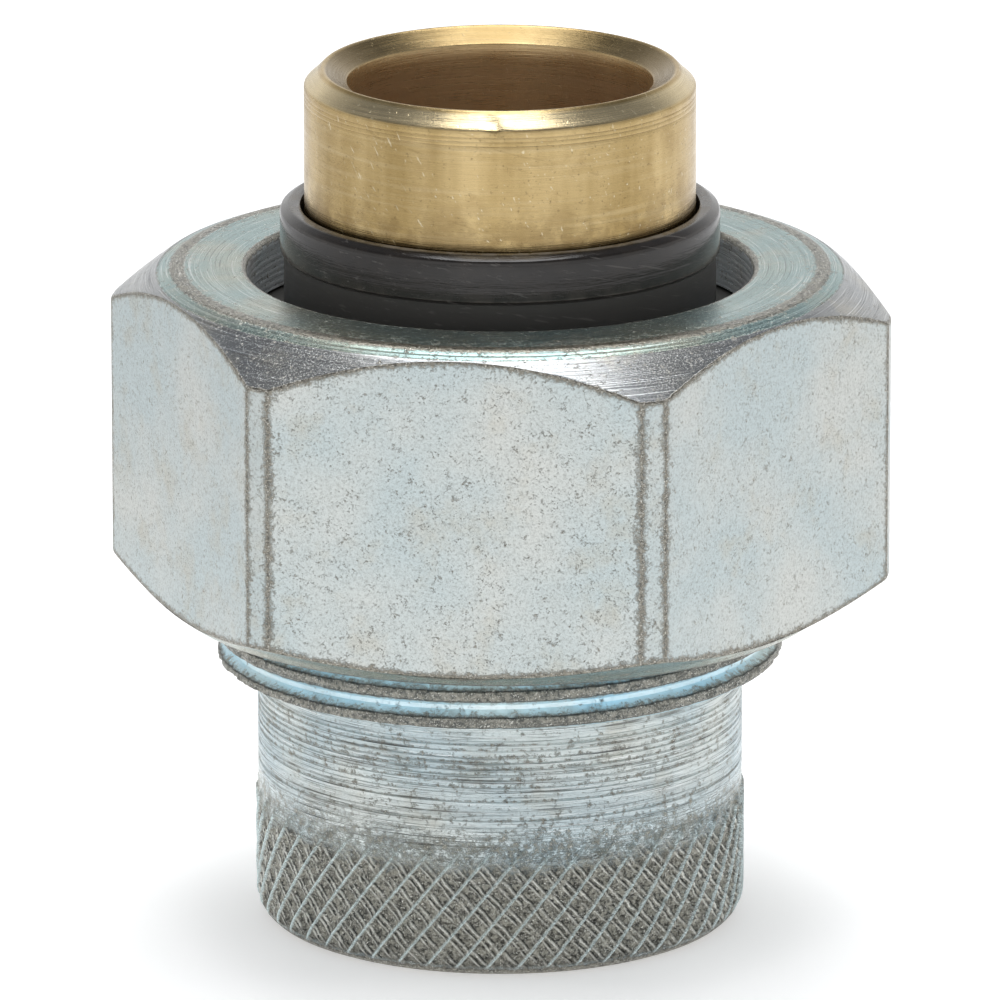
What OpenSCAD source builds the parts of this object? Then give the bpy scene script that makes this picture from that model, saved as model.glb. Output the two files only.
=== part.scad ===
// Dielectric pipe union for 3/4 in. pipe. A steel body takes a threaded pipe
// from below, a brass tailpiece takes a copper tube from above, and a hexagonal
// union nut clamps the two together. A plastic insulator and a flat gasket keep
// the brass and the steel apart. The origin is the middle of the bottom face.

/* [Steel body] */
// Outside diameter of the plain part of the body
body_d = 35.8; // [35:0.1:37]
// Outside diameter over the knurled band
knurl_d = 36.2; // [36:0.1:37.4]
// Height of the top of the knurled band
knurl_top = 8.4; // [6:0.1:12]
// Size of the rounding at the bottom edge
foot_round = 1.8; // [0.6:0.1:2.4]
// Height of the shoulder where the union thread starts
shoulder_z = 19.9; // [19:0.1:22]
// Height of the gasket seat, the top face of the body
seat_z = 38.5; // [36:0.1:39]
// Bore of the waterway through the body
body_bore_d = 20.9; // [18:0.1:21.4]

/* [Pipe thread in the body] */
// Diameter over the tips of the female pipe thread
tap_d = 23.7; // [23.4:0.1:24]
// Threads per inch
tap_tpi = 14; // [14:1:16]
// Depth of one thread groove
tap_groove = 1.2; // [0.8:0.1:1.4]
// Depth of the tapped hole
tap_depth = 16.4; // [14:0.1:17]
// Depth of the countersink at its mouth
mouth_depth = 1.2; // [0.5:0.1:1.6]

/* [Union thread] */
// Diameter over the crests of the male thread on the body
crest_d = 41.7; // [41.5:0.1:41.9]
// Pitch of the thread
pitch = 2; // [2:0.5:2.5]
// Depth of the male thread
thread_h = 0.85; // [0.7:0.05:0.9]
// Width of a crest of the male thread
crest_w = 0.7; // [0.5:0.05:0.8]
// Radial clearance between the crests and roots of the two threads
thread_gap = 0.2; // [0.15:0.01:0.3]
// Clearance along the axis between the flanks of the two threads
flank_gap = 0.1; // [0.08:0.01:0.14]

/* [Gasket] */
// Outside diameter of the gasket
gasket_d = 36.4; // [34:0.1:37]
// Hole through the gasket
gasket_bore_d = 22.4; // [21:0.1:24]
// Thickness of the gasket
gasket_h = 1.8; // [1.2:0.1:2.4]

/* [Brass tailpiece] */
// Outside diameter of the tailpiece
tail_d = 28.7; // [28.2:0.1:29]
// Height of its top edge above the bottom face of the body
tail_top = 64.2; // [63:0.1:66]
// Bore of the solder cup, for tube of 22.2 mm outside diameter
cup_d = 22.3; // [22.28:0.01:22.4]
// Length of the straight wall of the solder cup
cup_length = 18.6; // [17:0.1:18.8]
// Bore below the tube stop
tail_bore_d = 19.9; // [18:0.1:20.4]
// Diameter of the bottom flange
flange_d = 37.4; // [35:0.1:37.8]
// Thickness of the bottom flange
flange_h = 3.1; // [2.4:0.1:3.2]
// Size of the chamfer round the outside of the top edge
tail_chamfer = 1.2; // [0.5:0.1:1.3]

/* [Insulator] */
// Bore of the insulator
sleeve_bore_d = 29.2; // [29.1:0.1:29.4]
// Outside diameter of the lower part of the sleeve
sleeve_d = 31.7; // [31:0.1:32]
// Outside diameter of the collar at its top
collar_d = 32.28; // [32:0.01:33]
// Height of the collar
collar_h = 3.35; // [2:0.05:5]
// Height of the top of the collar above the bottom face of the body
collar_top = 54.05; // [53:0.05:55]
// Diameter of the flange that the nut presses on
sleeve_flange_d = 39.7; // [39.4:0.1:39.8]
// Thickness of that flange
sleeve_flange_h = 1.6; // [1.2:0.1:1.8]
// Depth of the skirt round the edge of the brass flange
skirt_h = 2.6; // [1:0.1:2.8]

/* [Union nut] */
// Width across the flats
across_flats = 50.8; // [50.5:0.1:52]
// Diameter that the six corners are turned down to
corner_d = 57.6; // [56.6:0.1:58]
// Height of the nut
nut_h = 25.1; // [24.5:0.1:26]
// Hole in the top of the nut
nut_hole_d = 37.1; // [36:0.1:37.6]
// Thickness of the lip round that hole
lip_h = 4.1; // [3.6:0.1:4.6]
// Diameter of the flat top face
top_flat_d = 47.9; // [46:0.1:49]
/* [Hidden] */
$fn = 96;

// Play between faces that slide on each other
slip = 0.1;
// Room between a cutter and the face that it passes
cut = 1;
root_r = crest_d / 2 - thread_h;
tap_pitch = 25.4 / tap_tpi;
flank_slope = tan(30);
foot_w = crest_w + 2 * thread_h * flank_slope;
thread_z = shoulder_z + foot_w / 2 + 0.1;

flange_z = seat_z + gasket_h;
sleeve_z = flange_z + flange_h + slip;
lip_z = sleeve_z + sleeve_flange_h + slip;
nut_top = lip_z + lip_h;
nut_bottom = nut_top - nut_h;
cup_mouth = 1.0;
cup_floor = tail_top - cup_mouth - cup_length;

// Nut thread: the tips reach into the male thread, less the two clearances
tip_r = root_r + thread_gap;
nut_root_r = crest_d / 2 + thread_gap;
tip_w = pitch - foot_w + 2 * thread_gap * flank_slope - 2 * flank_gap;
nut_foot_w = tip_w + 2 * (nut_root_r - tip_r) * flank_slope;
relief_z = seat_z + 1;

// Sections in one turn of a thread, and how much of a turn its ends fade over
turn_steps = 40;
fade = 0.2;
// How far a thread's foot is let into the wall that it stands on
bite = 0.3;

steel_colour = [0.76, 0.81, 0.82];
nut_colour = [0.70, 0.77, 0.78];
brass_colour = [0.76, 0.63, 0.36];
plastic_colour = [0.12, 0.11, 0.11];
rubber_colour = [0.22, 0.20, 0.19];

// The four corners of a thread's section at one point of its path. The tip
// sinks to the foot over the first and last part of the thread.
function ridge_section(t, turns, z0, foot_r, tip_r, foot_w, tip_w) =
    let (
        rise = min(1, t / fade, (turns - t) / fade),
        sunk_r = foot_r + (foot_r < tip_r ? -bite : bite),
        r = sunk_r + (tip_r - sunk_r) * rise,
        z = z0 + pitch * t,
        wide = foot_w / 2 + bite * flank_slope
    )
    [for (p = [[sunk_r, -wide], [r, -tip_w / 2], [r, tip_w / 2], [sunk_r, wide]])
        [p[0] * cos(360 * t), p[0] * sin(360 * t), z + p[1]]];

// A right-hand thread, as a ridge that winds up a wall of radius foot_r
module thread_ridge(z0, turns, foot_r, tip_r, foot_w, tip_w) {
    steps = round(turns * turn_steps);
    points = [for (i = [0:steps])
        each ridge_section(max(i * turns / steps, 0.001), turns + 0.001,
                           z0, foot_r, tip_r, foot_w, tip_w)];
    inward = foot_r > tip_r;
    sides = [for (i = [0:steps - 1], k = [0:3])
        let (a = 4 * i + k, b = 4 * i + (k + 1) % 4)
        each [[a, b, b + 4], [a, b + 4, a + 4]]];
    last = 4 * steps;
    ends = [[0, 2, 1], [0, 3, 2], [last, last + 1, last + 2], [last, last + 2, last + 3]];
    faces = concat(sides, ends);
    polyhedron(points, inward ? [for (f = faces) [f[0], f[2], f[1]]] : faces);
}

// The grooves of the female pipe thread, as half outlines cut into the bore
module pipe_thread_grooves() {
    for (z = [mouth_depth + tap_pitch / 2 : tap_pitch : tap_depth - tap_pitch])
        rotate_extrude()
            polygon([
                [tap_d / 2 - cut, z - 0.38 * tap_pitch],
                [tap_d / 2, z - 0.38 * tap_pitch],
                [tap_d / 2 + tap_groove, z - 0.05 * tap_pitch],
                [tap_d / 2 + tap_groove, z + 0.05 * tap_pitch],
                [tap_d / 2, z + 0.38 * tap_pitch],
                [tap_d / 2 - cut, z + 0.38 * tap_pitch]
            ]);
}

// Turned steel body: plain and knurled outside, tapped inside
module body_turning() {
    body_r = body_d / 2;
    knurl_r = knurl_d / 2;
    top_chamfer = 0.7;
    difference() {
        rotate_extrude()
            polygon([
                [0, 0],
                [knurl_r - foot_round * 0.55, 0],
                [knurl_r - foot_round * 0.2, foot_round * 0.35],
                [knurl_r, foot_round],
                [knurl_r, knurl_top - 0.4],
                [body_r, knurl_top],
                [body_r, shoulder_z],
                [root_r, shoulder_z],
                [root_r, seat_z - top_chamfer],
                [root_r - top_chamfer, seat_z],
                [0, seat_z]
            ]);
        rotate_extrude()
            polygon([
                [0, -cut],
                [tap_d / 2 + mouth_depth + cut, -cut],
                [tap_d / 2, mouth_depth],
                [tap_d / 2, tap_depth],
                [body_bore_d / 2, tap_depth + 1.4],
                [body_bore_d / 2, seat_z - 0.8],
                [body_bore_d / 2 + 0.8 + cut, seat_z + cut],
                [0, seat_z + cut]
            ]);
        pipe_thread_grooves();
    }
}

module union_body() {
    turns = (seat_z - 0.5 - foot_w / 2 - thread_z) / pitch;
    color(steel_colour) union() {
        body_turning();
        thread_ridge(thread_z, turns, root_r, crest_d / 2, foot_w, crest_w);
    }
}

module gasket() {
    color(rubber_colour)
        translate([0, 0, seat_z])
            difference() {
                cylinder(d = gasket_d, h = gasket_h);
                translate([0, 0, -cut]) cylinder(d = gasket_bore_d, h = gasket_h + 2 * cut);
            }
}

// Brass: flange on the gasket, waterway, tube stop, solder cup
module tailpiece() {
    ridge_r = tail_d / 2 - tail_chamfer;
    color(brass_colour)
        rotate_extrude()
            polygon([
                [tail_bore_d / 2, flange_z],
                [flange_d / 2 - 0.3, flange_z],
                [flange_d / 2, flange_z + 0.3],
                [flange_d / 2, flange_z + flange_h],
                [tail_d / 2, flange_z + flange_h],
                [tail_d / 2, tail_top - tail_chamfer],
                [ridge_r, tail_top],
                [cup_d / 2, tail_top - cup_mouth],
                [cup_d / 2, cup_floor],
                [tail_bore_d / 2, cup_floor]
            ]);
}

// Plastic sleeve: collar at the top, flange under the lip of the nut, and a
// skirt round the edge of the brass flange
module insulator() {
    bore_r = sleeve_bore_d / 2;
    sleeve_r = sleeve_d / 2;
    collar_r = collar_d / 2;
    out_r = sleeve_flange_d / 2;
    skirt_r = flange_d / 2 + 0.3;
    collar_z = collar_top - collar_h;
    color(plastic_colour)
        rotate_extrude()
            polygon([
                [bore_r, sleeve_z],
                [skirt_r, sleeve_z],
                [skirt_r, sleeve_z - skirt_h],
                [out_r, sleeve_z - skirt_h],
                [out_r, sleeve_z + sleeve_flange_h],
                [sleeve_r, sleeve_z + sleeve_flange_h],
                [sleeve_r, collar_z - 0.2],
                [collar_r, collar_z],
                [collar_r, collar_top - 0.5],
                [collar_r - 0.3, collar_top],
                [bore_r, collar_top]
            ]);
}

// Outside of the nut: a hexagon with turned corners and chamfered ends
module nut_blank() {
    corner_r = corner_d / 2;
    flat_r = across_flats / 2;
    intersection() {
        translate([0, 0, nut_bottom])
            cylinder(d = across_flats / cos(30), h = nut_h, $fn = 6);
        rotate_extrude()
            polygon([
                [0, nut_bottom],
                [flat_r - 1.2, nut_bottom],
                [flat_r, nut_bottom + 0.9],
                [corner_r, nut_bottom + 2.4],
                [corner_r, nut_top - 3.2],
                [flat_r, nut_top - 0.55],
                [top_flat_d / 2, nut_top],
                [0, nut_top]
            ]);
    }
}

module nut_turning() {
    mouth = 0.7;
    difference() {
        nut_blank();
        rotate_extrude()
            polygon([
                [0, nut_bottom - cut],
                [nut_root_r + mouth + cut, nut_bottom - cut],
                [nut_root_r, nut_bottom + mouth],
                [nut_root_r, relief_z],
                [nut_root_r + 0.3, relief_z + 0.3],
                [nut_root_r + 0.3, lip_z],
                [nut_hole_d / 2, lip_z],
                [nut_hole_d / 2, nut_top - 0.3],
                [nut_hole_d / 2 + 0.3 + cut, nut_top + cut],
                [0, nut_top + cut]
            ]);
    }
}

module union_nut() {
    // the nut's ridge runs in the groove of the male thread, so it starts at
    // the same place plus a whole number of turns and a half
    first = thread_z + pitch * 2.5;
    turns = (relief_z - first - nut_foot_w / 2) / pitch;
    color(nut_colour) union() {
        nut_turning();
        thread_ridge(first, turns, nut_root_r, tip_r, nut_foot_w, tip_w);
    }
}

union_body();
gasket();
tailpiece();
insulator();
union_nut();
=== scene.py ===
import math
import random

import bmesh
import bpy
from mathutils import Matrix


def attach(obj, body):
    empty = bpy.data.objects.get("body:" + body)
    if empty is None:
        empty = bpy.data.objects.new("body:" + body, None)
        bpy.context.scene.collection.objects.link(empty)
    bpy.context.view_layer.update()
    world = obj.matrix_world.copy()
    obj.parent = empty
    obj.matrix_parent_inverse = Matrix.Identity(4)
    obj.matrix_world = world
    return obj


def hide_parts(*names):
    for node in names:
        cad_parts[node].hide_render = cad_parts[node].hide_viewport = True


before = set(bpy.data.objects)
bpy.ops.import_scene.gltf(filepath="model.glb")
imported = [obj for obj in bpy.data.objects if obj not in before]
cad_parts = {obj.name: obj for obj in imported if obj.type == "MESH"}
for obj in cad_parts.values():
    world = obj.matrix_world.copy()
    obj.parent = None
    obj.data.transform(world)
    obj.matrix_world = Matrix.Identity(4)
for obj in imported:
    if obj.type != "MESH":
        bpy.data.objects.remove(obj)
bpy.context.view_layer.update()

# ---- Threaded body ----
# The lower half of the union: a steel barrel with a knurled grip, a female pipe thread in
# its foot and the male union thread above its shoulder. Turned from bar, knurled between
# rollers and zinc plated. All lengths in this file are in millimetres until a mesh is kept.

AROUND = 450
BODY_R = 17.9
SHOULDER_Z = 19.9
CREST_R = 20.85
ROOT_R = 20.0
PITCH = 2.0
FIRST_RIDGE_Z = 20.84
THREAD_TOP_Z = 37.8
SEAT_Z = 38.5
BODY_BORE_R = 10.45
BODY_CHAMFER_R, BODY_CHAMFER_Z = 19.6, 38.2
TAP_R = 11.85
TAP_PITCH = 25.4 / 14
TAP_GROOVE = 1.16
TAP_TOP_Z = 16.4
TAP_TAPER = 1 / 32
MOUTH_R, MOUTH_Z = 13.4, 1.2
KNURL_Z = (0.5, 10.2)
GRIP_FINISH_Z = 11.4
KNURL_RIDGES = 50
KNURL_LEAN = 31
CROSS_PER_MM = 0.913
SECOND_CROSS = 0.33
ROUND_Z, ROUND_SPAN, ROUND_POWER, ROUND_DROP = 1.7, 1.22, 2.3, 0.45


class Term:
    """A number inside a node tree, so that a rule can be written as plain arithmetic."""

    def __init__(self, tree, socket):
        self.tree = tree
        self.socket = socket

    def math(self, operation, *others):
        node = self.tree.nodes.new("ShaderNodeMath")
        node.operation = operation
        for inlet, value in zip(node.inputs, (self, *others)):
            if isinstance(value, Term):
                self.tree.links.new(value.socket, inlet)
            else:
                inlet.default_value = value
        return Term(self.tree, node.outputs[0])

    def __add__(self, other):
        return self.math("ADD", other)

    def __sub__(self, other):
        return self.math("SUBTRACT", other)

    def __mul__(self, other):
        return self.math("MULTIPLY", other)

    def __truediv__(self, other):
        return self.math("DIVIDE", other)

    def __pow__(self, other):
        return self.math("POWER", other)

    def less_from(self, other):
        return (self * -1) + other

    def least(self, other):
        return self.math("MINIMUM", other)

    def most(self, other):
        return self.math("MAXIMUM", other)

    def within(self, low, high):
        return self.most(low).least(high)

    def rise(self, level, slope):
        """0 up to that level, then up to 1 at that slope."""
        return ((self - level) * slope).within(0, 1)

    def peak(self, width):
        """1 where the number is a whole one, down to 0 at half that width away."""
        off = (self.math("FRACT") - 0.5).math("ABSOLUTE").less_from(0.5)
        return (off / (width / 2)).less_from(1).most(0)


def vector(x, y, z):
    tree = x.tree
    node = tree.nodes.new("ShaderNodeCombineXYZ")
    for inlet, value in zip(node.inputs, (x, y, z)):
        tree.links.new(value.socket, inlet)
    return node.outputs[0]


def noise(tree, spot, scale, detail=2.0, seed=0.0, roughness=0.5):
    """Smooth noise from about 0.2 to 0.8, at a vector socket."""
    node = tree.nodes.new("ShaderNodeTexNoise")
    node.noise_dimensions = "4D"
    tree.links.new(spot, node.inputs["Vector"])
    node.inputs["W"].default_value = seed
    node.inputs["Scale"].default_value = scale
    node.inputs["Detail"].default_value = detail
    node.inputs["Roughness"].default_value = roughness
    return Term(tree, node.outputs[0])


def shape_tree(name, sizes):
    """A geometry tree with a named input for each size, and those inputs as terms."""
    tree = bpy.data.node_groups.new(name, "GeometryNodeTree")
    face = tree.interface
    face.new_socket("Geometry", in_out="OUTPUT", socket_type="NodeSocketGeometry")
    for label, value in sizes.items():
        kind = "NodeSocketInt" if isinstance(value, int) else "NodeSocketFloat"
        face.new_socket(label, in_out="INPUT", socket_type=kind)
    face.new_socket("Finish", in_out="INPUT", socket_type="NodeSocketMaterial")
    inlets = tree.nodes.new("NodeGroupInput").outputs
    return tree, {label: Term(tree, inlets[label]) for label in sizes}


def flat_grid(tree, columns, rows):
    """A grid to roll up into a wall, with the share of the way across and up it."""
    grid = tree.nodes.new("GeometryNodeMeshGrid")
    tree.links.new((columns + 1).socket, grid.inputs["Vertices X"])
    tree.links.new(rows.socket, grid.inputs["Vertices Y"])
    place = tree.nodes.new("GeometryNodeInputPosition")
    parts = tree.nodes.new("ShaderNodeSeparateXYZ")
    tree.links.new(place.outputs[0], parts.inputs[0])
    across, up = Term(tree, parts.outputs["X"]) + 0.5, Term(tree, parts.outputs["Y"]) + 0.5
    return grid.outputs["Mesh"], across, up


def roll_up(tree, mesh, angle, radius, height, worn):
    """Bends the grid round the axis, marks how worn each point is, and closes its seam."""
    mark = tree.nodes.new("GeometryNodeStoreNamedAttribute")
    mark.data_type = "FLOAT"
    mark.domain = "POINT"
    mark.inputs["Name"].default_value = "worn"
    tree.links.new(mesh, mark.inputs["Geometry"])
    tree.links.new(worn.socket, mark.inputs["Value"])
    bend = tree.nodes.new("GeometryNodeSetPosition")
    tree.links.new(mark.outputs["Geometry"], bend.inputs["Geometry"])
    spot = vector(angle.math("COSINE") * radius, angle.math("SINE") * radius, height)
    tree.links.new(spot, bend.inputs["Position"])
    weld = tree.nodes.new("GeometryNodeMergeByDistance")
    weld.inputs["Distance"].default_value = 0.002
    tree.links.new(bend.outputs["Geometry"], weld.inputs["Geometry"])
    real = tree.nodes.new("GeometryNodeRealizeInstances")
    tree.links.new(weld.outputs["Geometry"], real.inputs["Geometry"])
    coat = tree.nodes.new("GeometryNodeSetMaterial")
    tree.links.new(real.outputs["Geometry"], coat.inputs["Geometry"])
    inlets = [n for n in tree.nodes if n.bl_idname == "NodeGroupInput"][0].outputs
    tree.links.new(inlets["Finish"], coat.inputs["Material"])
    outlet = tree.nodes.new("NodeGroupOutput")
    tree.links.new(coat.outputs["Geometry"], outlet.inputs["Geometry"])


def knurl_ends(up):
    """0 at both edges of the knurled band, 1 between them."""
    return (up / 0.06).least(up.less_from(1) / 0.1).within(0, 1)


def knurl_lines(tree, x, y, z, step, up):
    """Where the grip's leaning ridges and short cross ridges are, and how deep it is rolled."""
    waver = noise(tree, vector(x, y, z), 0.55, 2.0, 3.0)
    ends = knurl_ends(up)
    depth = ((z.less_from(9.6) / 2.4) + (waver - 0.5) * 0.9).within(0, 1) * ends
    slant = z * CROSS_PER_MM + step * 1.2 + (waver - 0.5) * 0.4
    return depth, ends, slant


def knurl_tree(sizes):
    """A band of leaning ridges with short cross ridges in the hollows between them."""
    tree, size = shape_tree("knurled_band", sizes)
    mesh, across, up = flat_grid(tree, size["Columns"], size["Rows"])
    height = size["Bottom"] + (size["Top"] - size["Bottom"]) * up
    ridges = size["Ridges"]
    gathered = (across * ridges * math.tau).math("SINE") * -0.09
    gathered = gathered * knurl_ends(up)
    lean = up * size["Lean"] / size["Columns"]
    angle = (across + lean + gathered / ridges) * math.tau
    step = (across * ridges + gathered).math("FRACT")
    x, y = angle.math("COSINE") * size["Radius"], angle.math("SINE") * size["Radius"]
    depth, ends, slant = knurl_lines(tree, x, y, height, step, up)
    deeper = (depth * 1.6).within(0, 1)
    ridge = step.peak(0.17) ** 0.8
    cross = slant.peak(0.34).most((slant + SECOND_CROSS).peak(0.26) * 0.8)
    hollow = (step * math.pi).math("SINE").most(0) ** 0.35
    field = hollow * size["Depth"] * -1 + hollow * cross * size["Depth"] * 1.1
    rough = (noise(tree, vector(x, y, height), 2.6, 3.0, 8.0) - 0.5) * 0.22 * hollow
    line = ridge * size["Ridge"] * (ends * 2.0 + depth).within(0, 1) * (up / 0.15).within(0, 1)
    rounding = ((height - ROUND_Z) / -ROUND_SPAN).most(0) ** ROUND_POWER * ROUND_DROP
    radius = size["Radius"] + line + (field + rough) * deeper - rounding
    worn = ((up / 0.06).less_from(1).within(0, 1) * 0.9).most(((up - 0.6) * 1.4).within(0, 0.5))
    roll_up(tree, mesh, angle, radius, height, worn)
    return tree


def thread_tree(sizes):
    """A wall with a right-hand thread ridge on it, whose rows of faces follow the ridge."""
    tree, size = shape_tree("thread_wall", sizes)
    mesh, across, up = flat_grid(tree, size["Columns"], size["Rows"])
    pitch, steps = size["Pitch"], 8
    row = up * (size["Rows"] - 1)
    turn = (row / steps + 0.0001).math("FLOOR")
    away = (row / steps - turn) * steps - steps / 2
    rows_away = away.math("ABSOLUTE")
    half_crest, half_foot = size["Crest width"] / 2, size["Foot width"] / 2
    edge = 0.05
    out = (half_crest - edge) * rows_away.within(0, 1)
    out = out + (rows_away - 1).within(0, 1) * edge * 2
    out = out + (half_foot - half_crest - edge) * (rows_away - 2).within(0, 1)
    out = out + (pitch / 2 - half_foot) * (rows_away - 3).within(0, 1)
    centre = size["First"] + (turn - 1 + across) * pitch
    height = (centre + out * away.math("SIGN")).most(size["Bottom"]).least(size["Top"])
    phase = (height - size["First"]) / pitch - across
    off = (phase.math("FRACT") - 0.5).math("ABSOLUTE").less_from(0.5) * pitch
    rise = ((half_foot - off) / (half_foot - half_crest)).within(0, 1)
    depth = (size["Crest"] - size["Foot"]).math("ABSOLUTE")
    lead = (height - size["Bottom"]) / depth + size["Bare start"]
    tail = (size["Top"] - height) / depth
    rise = rise.least(lead).least(tail).most(0)
    angle = across * math.tau
    spot = vector(angle.math("COSINE") * 20, angle.math("SINE") * 20, height)
    torn = ((noise(tree, spot, 1.3, 3.0, 5.0) - 0.52).least(0) * size["Torn"]) * rise
    radius = size["Foot"] + (size["Crest"] - size["Foot"]) * (rise + torn)
    radius = radius - (height - size["Bottom"]) * size["Taper"]
    worn = rise.rise(0.62, 2.7)
    roll_up(tree, mesh, angle, radius, height, worn)
    return tree


def run_tree(tree, sizes, finish):
    """Runs a geometry tree once. Gives its points, faces and wear as plain lists."""
    mesh = bpy.data.meshes.new("carrier")
    carrier = bpy.data.objects.new("carrier", mesh)
    bpy.context.scene.collection.objects.link(carrier)
    shape = carrier.modifiers.new("shape", "NODES")
    shape.node_group = tree
    for item in tree.interface.items_tree:
        if item.in_out == "INPUT":
            shape[item.identifier] = sizes[item.name] if item.name in sizes else finish
    graph = bpy.context.evaluated_depsgraph_get()
    made = bpy.data.meshes.new_from_object(carrier.evaluated_get(graph))
    carrier.modifiers.remove(shape)
    bpy.data.objects.remove(carrier)
    points = [tuple(v.co) for v in made.vertices]
    faces = [tuple(p.vertices) for p in made.polygons]
    worn = [d.value for d in made.attributes["worn"].data]
    bpy.data.meshes.remove(made)
    return points, faces, worn


def turned(outline, around):
    """A turned wall: outline holds (radius, height, worn), from one end to the other."""
    points, worn = [], []
    for radius, height, wear in outline:
        for i in range(around):
            a = math.tau * i / around
            points.append((radius * math.cos(a), radius * math.sin(a), height))
            worn.append(wear)
    faces = []
    for j in range(len(outline) - 1):
        for i in range(around):
            k = (i + 1) % around
            faces.append((j * around + i, j * around + k, (j + 1) * around + k, (j + 1) * around + i))
    return points, faces, worn


def put_together(walls):
    """One bmesh from several walls, welded where their edges meet."""
    bm = bmesh.new()
    wear = bm.verts.layers.float.new("worn")
    for points, faces, worn in walls:
        verts = [bm.verts.new(p) for p in points]
        for v, w in zip(verts, worn):
            v[wear] = w
        for f in faces:
            bm.faces.new([verts[i] for i in f])
    bmesh.ops.remove_doubles(bm, verts=bm.verts, dist=0.003)
    return bm


def rim(bm, height, low_r, high_r):
    """The points of an open edge at that height, in order round the axis."""
    found = set()
    for e in bm.edges:
        if e.is_boundary:
            for v in e.verts:
                if abs(v.co.z - height) < 0.01 and low_r < v.co.xy.length < high_r:
                    found.add(v)
    return sorted(found, key=lambda v: math.atan2(v.co.y, v.co.x))


def stitch(bm, one, other):
    """Joins two open edges round the axis with a ring of triangles."""
    i = j = 0

    def turn_of(loop, k):
        v = loop[k % len(loop)]
        return math.atan2(v.co.y, v.co.x) + math.tau * (k // len(loop))

    while i < len(one) or j < len(other):
        a, b = one[i % len(one)], other[j % len(other)]
        if j >= len(other) or (i < len(one) and turn_of(one, i + 1) <= turn_of(other, j + 1)):
            bm.faces.new((a, one[(i + 1) % len(one)], b))
            i += 1
        else:
            bm.faces.new((a, other[(j + 1) % len(other)], b))
            j += 1


def keep(bm, name, finishes, sharp=38):
    """Turns a closed bmesh in millimetres into a finished piece in metres."""
    bmesh.ops.recalc_face_normals(bm, faces=bm.faces)
    bmesh.ops.scale(bm, vec=(0.001, 0.001, 0.001), verts=bm.verts)
    mesh = bpy.data.meshes.new(name)
    bm.to_mesh(mesh)
    bm.free()
    mesh.polygons.foreach_set("use_smooth", [True] * len(mesh.polygons))
    mesh.set_sharp_from_angle(angle=math.radians(sharp))
    for finish in finishes:
        mesh.materials.append(finish)
    piece = bpy.data.objects.new(name, mesh)
    bpy.context.scene.collection.objects.link(piece)
    return piece


def new_finish(name):
    """A material, its tree, its shader, and the place on the piece in millimetres."""
    finish = bpy.data.materials.new(name)
    finish.use_nodes = True
    tree = finish.node_tree
    shader = tree.nodes["Principled BSDF"]
    place = tree.nodes.new("ShaderNodeTexCoord")
    parts = tree.nodes.new("ShaderNodeSeparateXYZ")
    tree.links.new(place.outputs["Object"], parts.inputs[0])
    return finish, tree, shader, [Term(tree, parts.outputs[k]) * 1000 for k in range(3)]


def blend(tree, share, one, other):
    """Colour from one to other, by a term from 0 to 1."""
    node = tree.nodes.new("ShaderNodeMix")
    node.data_type = "RGBA"
    tree.links.new(share.socket, node.inputs[0])
    for inlet, colour in ((node.inputs[6], one), (node.inputs[7], other)):
        if isinstance(colour, tuple):
            inlet.default_value = (*colour, 1)
        else:
            tree.links.new(colour, inlet)
    return node.outputs[2]


def emboss(tree, shader, height, depth_mm):
    """Small relief of that height: 0 to 1 of the term is depth_mm."""
    node = tree.nodes.new("ShaderNodeBump")
    node.inputs["Strength"].default_value = 1.0
    node.inputs["Distance"].default_value = depth_mm * 0.001
    tree.links.new(height.socket, node.inputs["Height"])
    tree.links.new(node.outputs[0], shader.inputs["Normal"])


def round_marks(tree, x, y, z, stretch, fineness, detail=2.0, seed=0.0):
    """Noise drawn out round the axis, as a lathe leaves it, on walls, cones and flats."""
    r = ((x * x + y * y) ** 0.5).most(0.5)
    spot = vector(x / r * stretch + r * fineness, y / r * stretch, z * fineness)
    return noise(tree, spot, 1.0, detail, seed)


def attribute(tree, name):
    node = tree.nodes.new("ShaderNodeAttribute")
    node.attribute_name = name
    return Term(tree, node.outputs["Fac"])


STRAW, FLECK_GREY, FLECK_WHITE = (0.56, 0.52, 0.42), (0.27, 0.275, 0.25), (0.86, 0.88, 0.86)
PIT_BROWN, TURNED_LINE = (0.12, 0.115, 0.10), (0.14, 0.135, 0.12)
DARK_HAIR, HIGHLIGHT_HAIR = (0.08, 0.09, 0.10), (0.97, 1.0, 1.0)
WORN_BROWN, WORN_GREY, TORN_BROWN = (0.06, 0.053, 0.04), (0.35, 0.325, 0.27), (0.07, 0.062, 0.05)
GLINT, CROSS_GLINT, RIDGE_PLATE_AND_HIGHLIGHT = (0.92, 0.91, 0.84), (1.0, 0.99, 0.92), (0.86, 0.99, 1.0)
HOLLOW_BROWN, HOLLOW_GREY = (0.05, 0.045, 0.034), (0.50, 0.48, 0.41)
SHADOW_BROWN, FOOT_SHADE = (0.02, 0.018, 0.015), (0.05, 0.045, 0.035)
CREST_EDGE_SHADE = (0.05, 0.05, 0.052)


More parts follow.
